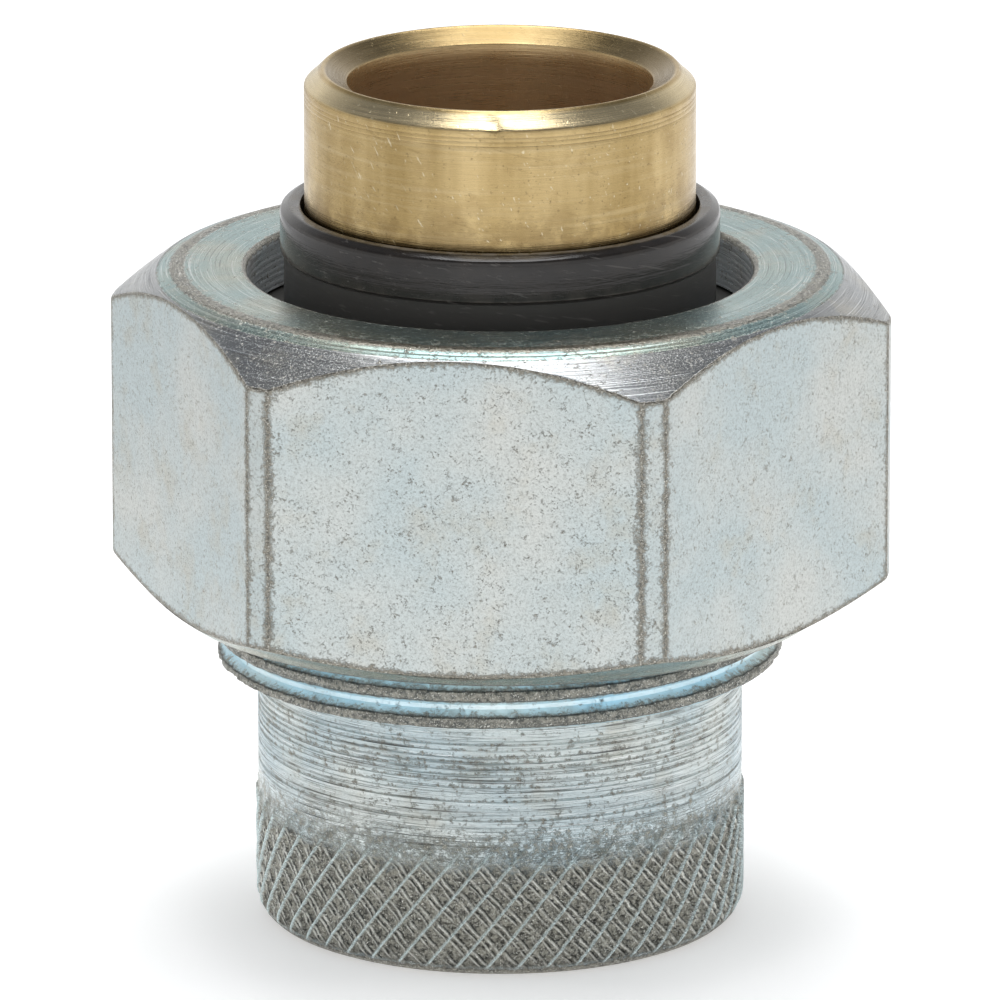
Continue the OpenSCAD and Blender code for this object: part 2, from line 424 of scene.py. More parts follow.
def zinc_plate(name, pale, tint, marks=0.0, speckle=0.0, roughness=0.35, relief=0.02,
               metallic=0.9, grain=1.0, outline=0.0, grip=False):
    """Zinc plating: pale blue-green and straw tints, fine flecks, brown-grey where worn. Glints, bright
    streaks and dark crest edges are painted light and shade.
    """
    finish, tree, shader, (x, y, z) = new_finish(name)
    spot = vector(x, y, z)
    cloud = noise(tree, spot, 0.11, 3.0, 1.0)
    patch = noise(tree, spot, 0.3, 5.0, 9.0, 0.6)
    fleck = noise(tree, spot, 3.4 * grain, 4.0, 2.0, 0.7)
    grit = noise(tree, spot, 8.0 * grain, 3.0, 4.0, 0.6)
    pit = noise(tree, spot, 5.5 * grain, 2.0, 12.0)
    rings = round_marks(tree, x, y, z, 1.2, 5.5, 3.0, 6.0)
    streaks = round_marks(tree, x, y, z, 3.0, 15.0, 2.0, 7.0)
    shade = blend(tree, cloud.rise(0.4, 4), tint, pale)
    straw = patch.rise(0.53, 6) * min(0.45, marks + speckle)
    shade = blend(tree, straw, shade, STRAW)
    dull = fleck.rise(0.47, 5) * speckle * 0.42
    shade = blend(tree, dull, shade, FLECK_GREY)
    dark = pit.rise(0.61, 14) * ((patch - 0.35) * 4).within(0.2, 1) * speckle
    shade = blend(tree, dark * 0.75, shade, PIT_BROWN)
    light = grit.rise(0.58, 9) * (marks + speckle) * 0.3
    shade = blend(tree, light.within(0, 1), shade, FLECK_WHITE)
    here = ((patch - 0.4) * 5).within(0.15, 1)
    lined = rings.rise(0.57, 14) * marks * here
    shade = blend(tree, lined.within(0, 1) * 0.7, shade, TURNED_LINE)
    hairline = streaks.rise(0.6, 16) * marks
    shade = blend(tree, hairline.within(0, 1) * 0.8, shade, DARK_HAIR)
    # Painted highlights: near-white streaks along the lathe marks.
    highlight_streaks = streaks.less_from(1).rise(0.6, 16) * marks
    shade = blend(tree, highlight_streaks.within(0, 1) * 0.75, shade, HIGHLIGHT_HAIR)
    ragged = (fleck - 0.5) * 2.0 + (grit - 0.5) * 1.2
    ragged = ragged + (noise(tree, spot, 1.7, 2.0, 21.0) - 0.5) * 1.6
    worn = attribute(tree, "worn")
    bare = ((worn + ragged * worn.less_from(1.15)) * 2.6 - 0.9).within(0, 1)
    brown = blend(tree, fleck.rise(0.38, 5), WORN_BROWN, WORN_GREY)
    torn = rings.rise(0.5, 10) * outline
    brown = blend(tree, torn * 0.7, brown, TORN_BROWN)
    # Painted glints: bright specks painted into the worn brown-grey.
    glint = grit.rise(0.56, 14)
    brown = blend(tree, glint * 0.9, brown, GLINT)
    cuts_and_glints = glint * 0.3
    if grip:
        r = (x * x + y * y) ** 0.5
        up = (z - KNURL_Z[0]) / (KNURL_Z[1] - KNURL_Z[0])
        share = y.math("ARCTAN2", x) / math.tau - up * KNURL_LEAN / AROUND
        step = (share * KNURL_RIDGES).math("FRACT")
        depth, ends, slant = knurl_lines(tree, x / r * BODY_R, y / r * BODY_R, z, step, up)
        line = step.peak(0.15) ** 0.5 * (up * 20).within(0, 1)
        hollow = (step * math.pi).math("SINE").most(0) ** 0.5
        short = noise(tree, spot, 1.1, 2.0, 31.0).rise(0.36, 6) * hollow
        short = short * (depth * 2.2 - 0.3).within(0, 1)
        # Painted highlights on the short cross ridges and painted glints in the hollows, with a painted
        # shadow beside each ridge; the same mask also raises the ridges in the bump.
        cuts_and_glints = slant.peak(0.2).most((slant + SECOND_CROSS).peak(0.15)) ** 0.6 * short
        shadow = (slant - 0.11).peak(0.16).most((slant + (SECOND_CROSS - 0.11)).peak(0.14)) * short
        pits = blend(tree, fleck.rise(0.40, 6), HOLLOW_BROWN, HOLLOW_GREY)
        pits = blend(tree, (shadow * 1.3).within(0, 0.95), pits, SHADOW_BROWN)
        pits = blend(tree, glint, pits, CROSS_GLINT)
        pits = blend(tree, (cuts_and_glints * 1.4).within(0, 1), pits, CROSS_GLINT)
        # Painted shade: the hollows darken towards the foot, below the rounding.
        painted_foot_shade = ((z - ROUND_Z) / -1.2).within(0, 1) * 0.6
        pits = blend(tree, painted_foot_shade, pits, FOOT_SHADE)
        in_band = (up * 25 + (fleck - 0.5) * 2).within(0, 1)
        brown = blend(tree, in_band, brown, pits)
        edge = (depth * 1.7 + (fleck - 0.5) * 2.2 - 0.2).within(0, 1) * line.less_from(1)
        bare = bare.most(edge)
        # Ridge tops: partly the pale plating left standing, partly a painted highlight.
        shade = blend(tree, line * (depth * 3).within(0, 1), shade, RIDGE_PLATE_AND_HIGHLIGHT)
        cuts_and_glints = cuts_and_glints * 1.6 - shadow * 1.2 + line * 0.3
    shade = blend(tree, bare * 0.92, shade, brown)
    # Painted shade: a dark line along the edges of the thread crests.
    painted_edge_shade = ((worn - 0.8).math("ABSOLUTE") / 0.15).less_from(1).within(0, 1) * outline
    shade = blend(tree, painted_edge_shade, shade, CREST_EDGE_SHADE)
    tree.links.new(shade, shader.inputs["Base Color"])
    shader.inputs["Metallic"].default_value = metallic
    gloss = (streaks - 0.5) * 0.3 + bare * 0.06 + dull * 0.3 - glint * bare * 0.2 + roughness
    tree.links.new(gloss.within(0.12, 0.8).socket, shader.inputs["Roughness"])
    bumps = (lined * -1.0 + streaks * marks * 1.2) + fleck * (bare * 1.3 + speckle) + cuts_and_glints
    emboss(tree, shader, bumps + grit * (bare * 1.4 + speckle * 0.5), relief)
    return finish


BODY_PALE, BODY_BLUE = (0.77, 0.81, 0.78), (0.60, 0.70, 0.73)
body_finish = zinc_plate(
    "body_zinc", BODY_PALE, BODY_BLUE, marks=1.15, speckle=0.3, roughness=0.34,
    relief=0.055)
grip_finish = zinc_plate(
    "grip_zinc", BODY_PALE, BODY_BLUE, marks=1.15, speckle=0.3, roughness=0.25,
    relief=0.085, grip=True)
thread_finish = zinc_plate(
    "thread_zinc", (0.86, 0.98, 1.0), (0.68, 0.90, 1.0), marks=0.1, speckle=0.1, roughness=0.38,
    relief=0.06, outline=0.8)

thread_sizes = {
    "Columns": AROUND, "Rows": 81, "Foot": ROOT_R, "Crest": CREST_R, "Pitch": PITCH,
    "First": FIRST_RIDGE_Z, "Bottom": SHOULDER_Z, "Top": THREAD_TOP_Z,
    "Crest width": 0.7, "Foot width": 1.68, "Bare start": 1.0, "Taper": 0.0, "Torn": 1.3,
}
thread = thread_tree(thread_sizes)
union_thread = run_tree(thread, thread_sizes, thread_finish)

pipe_thread_sizes = {
    "Columns": 120, "Rows": 81, "Foot": TAP_R + TAP_GROOVE, "Crest": TAP_R + 0.02, "Pitch": TAP_PITCH,
    "First": 1.9, "Bottom": MOUTH_Z, "Top": TAP_TOP_Z,
    "Crest width": 0.14, "Foot width": 1.62, "Bare start": 0.0, "Taper": TAP_TAPER, "Torn": 0.2,
}
pipe_thread = run_tree(thread, pipe_thread_sizes, body_finish)

knurl_sizes = {
    "Columns": AROUND, "Rows": 53, "Ridges": KNURL_RIDGES, "Lean": KNURL_LEAN, "Radius": BODY_R,
    "Bottom": KNURL_Z[0], "Top": KNURL_Z[1], "Ridge": 0.19, "Depth": 0.25,
}
knurl = run_tree(knurl_tree(knurl_sizes), knurl_sizes, grip_finish)

knurl_foot_r = BODY_R - ((ROUND_Z - KNURL_Z[0]) / ROUND_SPAN) ** ROUND_POWER * ROUND_DROP
foot = [
    (MOUTH_R, 0.0, 0.2), (14.8, 0.0, 0.2), (16.2, 0.0, 0.4), (16.75, 0.05, 0.8),
    (17.15, 0.22, 0.9), (knurl_foot_r, KNURL_Z[0], 0.9),
]
lathe = random.Random(11)
plain = [(BODY_R, KNURL_Z[1], 0.5)]
height = KNURL_Z[1] + 0.3
while height < SHOULDER_Z - 0.55:
    coarse = GRIP_FINISH_Z < height < 18.3
    cut = lathe.uniform(0.03, 0.1) if coarse else lathe.uniform(0.003, 0.018)
    rough = max(0.0, 0.42 * (13.2 - height) / 3.0)
    plain.append((BODY_R + 0.01, height, rough))
    groove = 0.5 if cut > 0.05 else 0.2
    plain.append((BODY_R - cut, height + lathe.uniform(0.06, 0.1), max(rough, groove)))
    height += lathe.uniform(0.34, 0.56)
plain += [(BODY_R, 19.6, 0.0), (BODY_R + 0.05, 19.84, 0.1), (BODY_R + 0.12, SHOULDER_Z, 0.2)]
plain += [(18.9, SHOULDER_Z, 0.2), (BODY_CHAMFER_R, SHOULDER_Z, 0.3)]
inside = [
    (BODY_CHAMFER_R, BODY_CHAMFER_Z, 0.2), (19.3, SEAT_Z, 0.2), (18.6, SEAT_Z, 0.1), (17.9, SEAT_Z, 0.0),
    (17.8, SEAT_Z - 0.06, 0.1), (17.4, SEAT_Z - 0.06, 0.1), (17.3, SEAT_Z, 0.0),
    (15.6, SEAT_Z, 0.0), (15.5, SEAT_Z - 0.06, 0.1), (15.1, SEAT_Z - 0.06, 0.1),
    (15.0, SEAT_Z, 0.0), (13.0, SEAT_Z, 0.0), (11.35, SEAT_Z, 0.1), (10.9, 38.15, 0.2),
    (BODY_BORE_R, 37.6, 0.2), (BODY_BORE_R, 36.0, 0.1), (BODY_BORE_R, 32.0, 0.1),
    (BODY_BORE_R, 28.0, 0.1), (BODY_BORE_R, 24.0, 0.1), (BODY_BORE_R, 20.0, 0.1),
    (BODY_BORE_R, 18.1, 0.2), (10.55, 17.85, 0.3), (11.3, 17.0, 0.2),
]
body = put_together([
    turned(foot, AROUND), knurl, turned(plain, AROUND), union_thread,
    turned(inside, 225), pipe_thread,
])
stitch(body, rim(body, SHOULDER_Z, 19.55, 19.7), rim(body, SHOULDER_Z, 19.8, 21.0))
stitch(body, rim(body, THREAD_TOP_Z, 19.8, 20.3), rim(body, BODY_CHAMFER_Z, 19.5, 19.7))
stitch(body, rim(body, 17.0, 11.2, 11.4), rim(body, TAP_TOP_Z, 10.8, 13.2))
stitch(body, rim(body, MOUTH_Z, 11.5, 13.2), rim(body, 0.0, 13.3, 13.5))
for f in body.faces:
    middle = f.calc_center_median()
    outer = middle.xy.length > 17.2
    in_grip = outer and 0.2 < middle.z < GRIP_FINISH_Z
    f.material_index = 2 if outer and middle.z > SHOULDER_Z else int(in_grip)
union_body = keep(body, "threaded_body", [body_finish, grip_finish, thread_finish])
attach(union_body, "body_half")
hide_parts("union_body")


# ---- Sealing washer ----
# A flat ring of black rubber, punched from sheet. It lies on the body's seat and is
# squeezed by the brass flange, so its edges are a little rounded.

GASKET_R, GASKET_BORE_R, GASKET_H = 18.2, 11.2, 1.8
RUBBER_BLACK, RUBBER_DUSTY = (0.022, 0.021, 0.020), (0.050, 0.048, 0.045)

rubber, tree, shader, (x, y, z) = new_finish("gasket_rubber")
spot = vector(x, y, z)
dust = noise(tree, spot, 1.1, 4.0, 2.0)
pores = noise(tree, spot, 9.0, 2.0, 3.0)
tint = blend(tree, dust.rise(0.42, 3), RUBBER_BLACK, RUBBER_DUSTY)
tree.links.new(tint, shader.inputs["Base Color"])
tree.links.new((dust * 0.3 + 0.5).socket, shader.inputs["Roughness"])
emboss(tree, shader, pores + dust, 0.02)

low, high = SEAT_Z, SEAT_Z + GASKET_H
washer_outline = [
    (GASKET_BORE_R + 0.15, low, 0), (GASKET_BORE_R, low + 0.15, 0), (GASKET_BORE_R, low + 0.9, 0),
    (GASKET_BORE_R, high - 0.15, 0), (GASKET_BORE_R + 0.15, high, 0), (13.5, high, 0),
    (16.0, high, 0), (GASKET_R - 0.15, high, 0), (GASKET_R, high - 0.15, 0),
    (GASKET_R, low + 0.9, 0), (GASKET_R, low + 0.15, 0), (GASKET_R - 0.15, low, 0),
    (16.0, low, 0), (13.5, low, 0), (GASKET_BORE_R + 0.15, low, 0),
]
gasket = keep(put_together([turned(washer_outline, 192)]), "sealing_washer", [rubber])
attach(gasket, "body_half")
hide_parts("gasket")


# ---- Brass tailpiece ----
# The solder end: a flange that seals on the washer, a waterway, and a cup with a stop for
# the copper tube. Turned from brass bar in one piece and left as it comes off the lathe.

TAIL_R, TAIL_TOP, CUP_R, TAIL_BORE_R = 14.35, 64.2, 11.15, 9.95
FLANGE_R, FLANGE_Z, FLANGE_H = 18.7, 40.3, 3.1
CUP_FLOOR = 44.6
BRASS_DEEP, BRASS_LIGHT, BRASS_PALE = (0.43, 0.305, 0.13), (0.62, 0.465, 0.23), (0.74, 0.60, 0.36)
STAIN_BROWN, SMUDGE_BROWN, BRASS_PIT = (0.36, 0.24, 0.10), (0.20, 0.13, 0.055), (0.18, 0.12, 0.055)
CHIP_BRIGHT, SCORE_BROWN = (0.86, 0.76, 0.54), (0.28, 0.19, 0.08)
FRESH_CUT, DULL_CUT, CUP_OXIDE = (0.92, 0.80, 0.54), (0.20, 0.145, 0.065), (0.68, 0.47, 0.28)

brass, tree, shader, (x, y, z) = new_finish("tail_brass")
spot = vector(x, y, z)
hairs = round_marks(tree, x, y, z, 3.0, 16.0, 3.0, 1.0)
bands = round_marks(tree, x, y, z, 1.2, 2.2, 2.0, 2.0)
flow = noise(tree, vector(x * 0.3, y * 0.3, z * 0.03), 1.0, 3.0, 3.0)
stain = noise(tree, spot, 0.45, 5.0, 4.0, 0.6)
pits = noise(tree, spot, 4.5, 3.0, 5.0, 0.6)
nicks = noise(tree, vector(x * 2.4 + z, y * 2.4 - z, z * 0.7), 1.5, 2.0, 6.0)
tint = blend(tree, flow.rise(0.38, 4), BRASS_DEEP, BRASS_LIGHT)
tint = blend(tree, bands.rise(0.5, 4) * 0.35, tint, BRASS_PALE)
tint = blend(tree, stain.rise(0.52, 5) * 0.5, tint, STAIN_BROWN)
smudge = ((z - 54.3) / 3.5).less_from(1).within(0, 1) * stain.rise(0.42, 9)
tint = blend(tree, smudge * 0.5, tint, SMUDGE_BROWN)
tint = blend(tree, pits.rise(0.61, 14) * 0.55, tint, BRASS_PIT)
chips = nicks.rise(0.66, 20)
tint = blend(tree, chips * 0.6, tint, CHIP_BRIGHT)
scores = noise(tree, vector(x * 0.5 + z * 1.6, y * 0.5, z * 0.25), 2.4, 2.0, 8.0).rise(0.63, 18)
tint = blend(tree, scores * 0.3, tint, SCORE_BROWN)
oxide = attribute(tree, "worn")
r = (x * x + y * y) ** 0.5
fresh = r.rise(13.2, 6) * z.rise(62.95, 5)
tint = blend(tree, fresh * 0.5, tint, FRESH_CUT)
inner = (r.less_from(12.9) * 5).within(0, 1) * z.rise(63.1, 5)
tint = blend(tree, inner * 0.8, tint, DULL_CUT)
tint = blend(tree, oxide, tint, CUP_OXIDE)
tree.links.new(tint, shader.inputs["Base Color"])
tree.links.new((oxide * -0.45 + 1.0).socket, shader.inputs["Metallic"])
gloss = (hairs - 0.5) * 0.35 + (stain - 0.5) * 0.2 + oxide * 0.08 + 0.26
tree.links.new(gloss.within(0.14, 0.7).socket, shader.inputs["Roughness"])
emboss(tree, shader, hairs + bands * 1.2 + pits * 0.5 - chips * 0.5, 0.014)

tail_outline = [
    (TAIL_BORE_R + 0.3, FLANGE_Z, 0.3), (13.5, FLANGE_Z, 0.2), (16.5, FLANGE_Z, 0.2),
    (FLANGE_R - 0.3, FLANGE_Z, 0.1), (FLANGE_R - 0.08, FLANGE_Z + 0.1, 0), (FLANGE_R, FLANGE_Z + 0.3, 0),
    (FLANGE_R, FLANGE_Z + 1.6, 0), (FLANGE_R, FLANGE_Z + FLANGE_H - 0.2, 0),
    (FLANGE_R - 0.08, FLANGE_Z + FLANGE_H - 0.06, 0), (FLANGE_R - 0.25, FLANGE_Z + FLANGE_H, 0),
    (16.5, FLANGE_Z + FLANGE_H, 0.1), (TAIL_R + 0.2, FLANGE_Z + FLANGE_H, 0.2),
    (TAIL_R, FLANGE_Z + FLANGE_H + 0.2, 0.1), (TAIL_R, 46.0, 0), (TAIL_R, 49.0, 0), (TAIL_R, 52.0, 0),
    (TAIL_R, 54.6, 0), (TAIL_R, 57.0, 0), (TAIL_R, 59.5, 0), (TAIL_R, 61.4, 0),
]
for ring in (61.75, 62.1, 62.4):
    tail_outline += [(TAIL_R, ring, 0), (TAIL_R - 0.025, ring + 0.07, 0.1), (TAIL_R, ring + 0.14, 0)]
tail_outline += [
    (TAIL_R, 62.8, 0), (TAIL_R - 0.03, 62.97, 0), (TAIL_R - 0.12, 63.1, 0), (14.0, 63.27, 0),
    (13.65, 63.62, 0), (13.3, 63.96, 0), (13.17, 64.1, 0), (13.08, 64.18, 0), (12.98, TAIL_TOP, 0),
    (12.88, 64.17, 0), (12.76, 64.1, 0.02), (12.3, 63.83, 0.02), (11.8, 63.54, 0.03),
    (11.4, 63.32, 0.05), (11.22, 63.2, 0.1), (CUP_R, 63.05, 0.35), (CUP_R, 62.0, 0.55),
]
depth_z = 61.0
while depth_z > CUP_FLOOR + 0.8:
    tail_outline += [(CUP_R, depth_z, 0.7), (CUP_R + 0.02, depth_z - 0.12, 0.75)]
    depth_z -= 1.15
tail_outline += [
    (CUP_R, CUP_FLOOR + 0.1, 0.8), (CUP_R - 0.1, CUP_FLOOR, 0.8), (TAIL_BORE_R + 0.2, CUP_FLOOR, 0.7),
    (TAIL_BORE_R, CUP_FLOOR - 0.2, 0.7), (TAIL_BORE_R, 42.5, 0.7), (TAIL_BORE_R, FLANGE_Z + 0.3, 0.6),
    (TAIL_BORE_R + 0.3, FLANGE_Z, 0.3),
]
tail = put_together([turned(tail_outline, 360)])
NICK_TURN, NICK_HALF, NICK_DEPTH = math.radians(-84), 1.5, 0.09
for v in tail.verts:
    off = (math.atan2(v.co.y, v.co.x) - NICK_TURN) * TAIL_R
    r = v.co.xy.length
    if abs(off) < NICK_HALF and 13.5 < r < TAIL_R + 0.01 and v.co.z > 62.6:
        bite = NICK_DEPTH * (1 - abs(off) / NICK_HALF) * math.cos(off * 2.6 + (v.co.z - 63.2) * 3)
        v.co.x -= bite * v.co.x / r
        v.co.y -= bite * v.co.y / r
        v.co.z -= bite * 0.6
tailpiece = keep(tail, "brass_tailpiece", [brass], 30)
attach(tailpiece, "tail")
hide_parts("tailpiece")


# ---- Insulator ----
# A moulded sleeve of hard black plastic between brass and nut: a collar that stands up
# round the tailpiece, a flange that the nut's lip presses on, and a skirt below it.

SLEEVE_BORE_R, SLEEVE_R, COLLAR_R = 14.6, 15.85, 16.14
COLLAR_Z, COLLAR_TOP = 50.7, 54.05
SLEEVE_FLANGE_R, SLEEVE_Z, SLEEVE_FLANGE_H = 19.85, 43.5, 1.6
SKIRT_R, SKIRT_Z = 19.0, 40.9
PLASTIC_BLACK, PLASTIC_BROWN = (0.011, 0.008, 0.006), (0.027, 0.020, 0.015)
PLASTIC_PAINTED_LIGHT, RUBBED_GREY, SCRATCH_GREY = (0.050, 0.048, 0.044), (0.20, 0.185, 0.165), (0.17, 0.16, 0.15)

plastic, tree, shader, (x, y, z) = new_finish("insulator_plastic")
spot = vector(x, y, z)
haze = noise(tree, spot, 0.8, 4.0, 2.0)
scuff = round_marks(tree, x, y, z, 8.0, 9.0, 3.0, 3.0)
scratch = noise(tree, vector(x * 0.6 + z * 1.5, y * 0.6 + z * 1.5, z * 0.3), 2.2, 2.0, 4.0)
worn = attribute(tree, "worn")
tint = blend(tree, haze.rise(0.4, 2.5), PLASTIC_BLACK, PLASTIC_BROWN)
rubbed = (worn * ((haze - 0.3) * 3).within(0.3, 1)).within(0, 1)
# Painted light: the sleeve below the collar is lightened in colour for light from the nut around it, and
# its roughness is raised.
matt_skin_and_painted_light = ((z - COLLAR_Z) * -4).within(0, 1)
tint = blend(tree, matt_skin_and_painted_light, tint, PLASTIC_PAINTED_LIGHT)
tint = blend(tree, rubbed, tint, RUBBED_GREY)
lines = scratch.rise(0.62, 14) * 0.35
tint = blend(tree, lines, tint, SCRATCH_GREY)
tree.links.new(tint, shader.inputs["Base Color"])
gloss = (scuff - 0.5) * 0.2 + rubbed * 0.25 + lines * 0.2 + matt_skin_and_painted_light * 0.2 + 0.14
tree.links.new(gloss.within(0.1, 0.7).socket, shader.inputs["Roughness"])
shader.inputs["Specular IOR Level"].default_value = 0.6
emboss(tree, shader, scuff * 0.7 + haze * 0.6 + scratch * 0.3, 0.012)

flange_top = SLEEVE_Z + SLEEVE_FLANGE_H
sleeve_outline = [
    (SLEEVE_BORE_R, SLEEVE_Z, 0), (16.8, SLEEVE_Z, 0), (SKIRT_R, SLEEVE_Z, 0),
    (SKIRT_R, 42.2, 0), (SKIRT_R, SKIRT_Z + 0.1, 0), (SKIRT_R + 0.1, SKIRT_Z, 0),
    (SLEEVE_FLANGE_R - 0.1, SKIRT_Z, 0), (SLEEVE_FLANGE_R, SKIRT_Z + 0.1, 0), (SLEEVE_FLANGE_R, 43.0, 0),
    (SLEEVE_FLANGE_R, flange_top - 0.12, 0), (SLEEVE_FLANGE_R - 0.12, flange_top, 0),
    (18.0, flange_top, 0), (SLEEVE_R + 0.25, flange_top, 0), (SLEEVE_R, flange_top + 0.25, 0),
    (SLEEVE_R, 48.0, 0), (SLEEVE_R, 50.1, 0), (SLEEVE_R + 0.02, 50.4, 0), (SLEEVE_R + 0.12, 50.52, 0),
    (COLLAR_R - 0.1, COLLAR_Z - 0.1, 0), (COLLAR_R - 0.01, COLLAR_Z, 0.5), (COLLAR_R, COLLAR_Z + 0.12, 0.1),
    (COLLAR_R, 51.6, 0), (COLLAR_R - 0.004, 51.7, 0), (COLLAR_R, 51.8, 0), (COLLAR_R, 52.8, 0),
    (COLLAR_R, 53.3, 0), (COLLAR_R - 0.02, 53.52, 0), (COLLAR_R - 0.07, 53.66, 0),
    (COLLAR_R - 0.14, 53.74, 0), (COLLAR_R - 0.19, 53.775, 0), (COLLAR_R - 0.53, 53.985, 0),
    (COLLAR_R - 0.59, 54.015, 0.1), (COLLAR_R - 0.7, COLLAR_TOP, 0.7), (15.3, COLLAR_TOP, 1.0),
    (14.95, COLLAR_TOP, 1.0), (14.78, 54.02, 0.8), (14.66, 53.94, 0.5),
    (SLEEVE_BORE_R, 53.8, 0.2), (SLEEVE_BORE_R, 50.0, 0), (SLEEVE_BORE_R, 47.0, 0),
    (SLEEVE_BORE_R, SLEEVE_Z, 0),
]
insulator = keep(put_together([turned(sleeve_outline, 360)]), "insulating_sleeve", [plastic], 30)
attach(insulator, "sleeve")
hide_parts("insulator")


# ---- Union nut ----
# The hexagon nut that draws the two halves together. Made from hexagon bar: its ends and
# corners are turned, it is threaded inside below a lip, and zinc plated all over.

FLAT_R, CORNER_R = 25.4, 28.8
NUT_BOTTOM, NUT_TOP = 24.2, 49.3
HOLE_R, LIP_Z, RELIEF_Z = 18.55, 45.2, 39.5
NUT_ROOT_R, NUT_TIP_R = 21.05, 20.2
CORNER_TURN = math.degrees(math.acos(FLAT_R / CORNER_R))
BREAK_R = 25.28
TOP_FACE_R, TOP_CONE_Z, TOP_CONE_DROP = 23.95, 48.75, 2.65
BOTTOM_FACE_R, BOTTOM_CONE_Z, BOTTOM_CONE_RISE = 24.2, 25.1, 1.5
NUT_THREAD_Z, BOTTOM_CHAMFER_R = 24.9, 21.9
LIP_R, RELIEF_TOP_Z = 21.35, 39.9

rolled = zinc_plate(
    "nut_flat_zinc", (0.67, 0.69, 0.66), (0.57, 0.645, 0.65), speckle=0.95, roughness=0.40,
    relief=0.028, grain=1.45)
faced = zinc_plate(
    "nut_turned_zinc", (0.42, 0.45, 0.37), (0.30, 0.42, 0.41), marks=0.6, speckle=0.25,
    roughness=0.23, relief=0.016)
coned = zinc_plate(
    "nut_cone_zinc", (0.47, 0.47, 0.45), (0.37, 0.385, 0.395), marks=0.75, speckle=0.2,
    roughness=0.21, relief=0.018)
# Painted light: the hole wall is near-white and nearly non-metallic, which lifts it out of the shade of its
# pit.
bored = zinc_plate(
    "nut_hole_zinc", (1.0, 1.0, 1.0), (0.86, 0.96, 1.0), marks=0.6, speckle=0.2, roughness=0.55,
    relief=0.03, metallic=0.05)

near_corner = [30.0, 29.4, 28.9, 28.5, CORNER_TURN, 27.75, 27.4, 26.9, 26.0]
half_face = near_corner + [24.0, 22.0, 20.0, 18.0, 16.0, 14.0, 12.0, 10.0, 8.0, 6.0, 4.0, 2.0]
face_turns = [-a for a in half_face] + [0.0] + [a for a in reversed(half_face)][:-1]


def wall_r(turn):
    """Distance from the axis to the outside of the nut, with its corner edges eased."""
    flat, corner, ease = FLAT_R / math.cos(math.radians(turn)), CORNER_R, 0.05
    gap = (flat - corner) / ease
    if abs(gap) > 30:
        return min(flat, corner)
    return corner - ease * math.log1p(math.exp(-gap))


def top_z(r):
    """Height of the cones that break the top edge of the nut."""
    if r > FLAT_R:
        return TOP_CONE_Z - (r - FLAT_R) * TOP_CONE_DROP / (CORNER_R - FLAT_R)
    return TOP_CONE_Z + (FLAT_R - r) * (NUT_TOP - TOP_CONE_Z) / (FLAT_R - TOP_FACE_R)


def bottom_z(r):
    """Height of the cones that break its bottom edge."""
    if r > FLAT_R:
        return BOTTOM_CONE_Z + (r - FLAT_R) * BOTTOM_CONE_RISE / (CORNER_R - FLAT_R)
    return NUT_BOTTOM + (r - BOTTOM_FACE_R) * (BOTTOM_CONE_Z - NUT_BOTTOM) / (FLAT_R - BOTTOM_FACE_R)


def wear_near(distance, width):
    """1 on an edge, down to 0 at that width from it."""
    return max(0.0, 1 - distance / width)


def nut_ring(kind, share, turn):
    """One point of the nut's outside: (radius, height, worn). On a wall the share is in mm
    from the bottom up to 3, in mm from 10 down to 7 below the top, and a part of the rest."""
    edge_r = wall_r(turn)
    corner_wear = wear_near(abs(abs(turn) - CORNER_TURN), 1.4) * 0.85
    if kind == "bottom":
        r = BREAK_R + (edge_r - BREAK_R) * share
        return r, bottom_z(r), max(wear_near(edge_r - r, 0.5), 0.2)
    if kind == "top":
        r = BREAK_R + (edge_r - BREAK_R) * share
        return r, top_z(r), 0.0
    low, high = bottom_z(edge_r), top_z(edge_r)
    if share < 3:
        z = low + share
    elif share > 7:
        z = high - (10 - share)
    else:
        z = low + (high - low) * (share - 3) / 4
    wear = max(wear_near(z - low, 0.7), wear_near(high - z, 0.7), corner_wear)
    eased = 0.05 * (max(wear_near(z - low, 0.16), wear_near(high - z, 0.16)))
    return edge_r - eased, z, wear


rings = [(BOTTOM_CHAMFER_R, NUT_BOTTOM, 0.3), (22.8, NUT_BOTTOM, 0.2), (23.7, NUT_BOTTOM, 0.4)]
rings += [(24.1, NUT_BOTTOM, 0.8)]
rings += [(24.25, 24.26, 0.9), (24.6, bottom_z(24.6), 0.4), (25.0, bottom_z(25.0), 0.4)]
rings += [("bottom", s) for s in (0.0, 0.25, 0.5, 0.7, 0.85, 0.94)]
rings += [("wall", s) for s in (0.0, 0.08, 0.22, 0.4, 0.65, 1.2, 3.4, 4.0, 4.5, 5.0, 5.5, 6.0, 6.6)]
rings += [("wall", s) for s in (8.8, 9.35, 9.6, 9.78, 9.92, 10.0)]
rings += [("top", s) for s in (0.94, 0.85, 0.7, 0.5, 0.25, 0.0)]
rings += [
    (25.21, top_z(25.21) - 0.05, 0.5), (25.13, top_z(25.13) - 0.05, 0.5), (25.06, top_z(25.06), 0.0),
    (24.72, top_z(24.72), 0.0), (24.66, top_z(24.66) - 0.025, 0.3), (24.58, top_z(24.58), 0.0),
    (24.35, top_z(24.35), 0.35), (24.1, top_z(24.1), 1.0), (23.94, 49.285, 1.0), (23.8, NUT_TOP, 1.0),
    (23.4, NUT_TOP, 1.0), (23.1, NUT_TOP, 0.4), (22.8, NUT_TOP, 0.25), (22.2, NUT_TOP, 0.2),
    (21.6, NUT_TOP, 0.0), (21.0, NUT_TOP, 0.0), (20.4, NUT_TOP, 0.0), (19.8, NUT_TOP, 0.0),
    (19.3, NUT_TOP, 0.0), (19.05, NUT_TOP, 0.3), (18.88, 49.29, 0.9), (18.72, 49.2, 1.0),
    (18.6, 49.04, 0.8), (HOLE_R, 48.8, 0.3),
]
tool_z = 48.5
